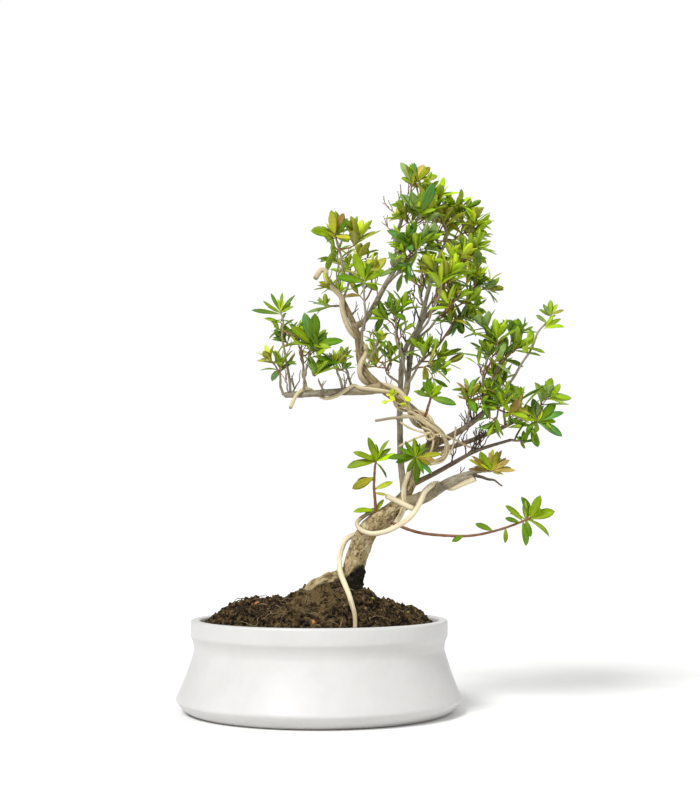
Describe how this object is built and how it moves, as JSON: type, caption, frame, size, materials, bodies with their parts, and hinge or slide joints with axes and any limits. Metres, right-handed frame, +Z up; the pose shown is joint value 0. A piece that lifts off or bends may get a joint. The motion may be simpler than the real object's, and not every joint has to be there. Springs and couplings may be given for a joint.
{
  "type": "azalea bonsai",
  "caption": "Potted azalea bonsai with a leaning trunk, wire-trained boughs and small leaf rosettes in a round white flared bowl of soil.",
  "frame": {"origin": "centre of the bowl's flat underside", "axes": "+Z up, +X to the right and +Y away as the tree is seen in the picture"},
  "size_m": [0.2742, 0.196, 0.3889],
  "materials": {
    "pot": "satin white glaze",
    "soil": "damp crumbly potting soil",
    "bark": "rough tan bark",
    "branch": "grey-brown bark",
    "wire": "matte cream wrapping",
    "leaf": "satin green leaf"
  },
  "bodies": {
    "root": {"pot": "pot", "soil": "soil", "trunk": "bark", "leader": "branch", "left_bough": "branch", "right_bough": "branch", "upright_rear": "branch", "upright_mid": "branch", "upright_left": "branch", "right_low_branch": "branch", "right_high_branch": "branch", "right_outer_branch": "branch", "trunk_wire": "wire", "leader_wire": "wire", "bough_wire": "wire", "tail_wire": "wire", "left_wire": "wire", "left_tip_foliage": "leaf", "left_high_foliage": "leaf", "left_mid_foliage": "leaf", "left_low_foliage": "leaf", "left_inner_foliage": "leaf", "left_rear_foliage": "leaf", "leader_tip_foliage": "leaf", "leader_left_foliage": "leaf", "leader_top_foliage": "leaf", "leader_mid_foliage": "leaf", "leader_rear_foliage": "leaf", "leader_side_foliage": "leaf", "crown_tip_foliage": "leaf", "crown_high_foliage": "leaf", "crown_upper_foliage": "leaf", "crown_right_foliage": "leaf", "crown_right_low_foliage": "leaf", "crown_mid_left_foliage": "leaf", "crown_centre_foliage": "leaf", "crown_far_right_foliage": "leaf", "crown_low_right_foliage": "leaf", "crown_low_left_foliage": "leaf", "crown_low_foliage": "leaf", "crown_rear_high_foliage": "leaf", "crown_rear_low_foliage": "leaf", "crown_rear_right_foliage": "leaf", "right_upper_foliage": "leaf", "right_upper_outer_foliage": "leaf", "right_shoot_foliage": "leaf", "right_outer_foliage": "leaf", "right_mid_foliage": "leaf", "right_inner_foliage": "leaf", "right_rear_foliage": "leaf", "right_low_foliage": "leaf", "right_bough_tip_foliage": "leaf", "centre_high_foliage": "leaf", "centre_mid_foliage": "leaf", "centre_low_foliage": "leaf", "front_shoot_foliage": "leaf", "long_shoot_foliage": "leaf", "rear_middle_foliage": "leaf"}
  },
  "joints": []
}
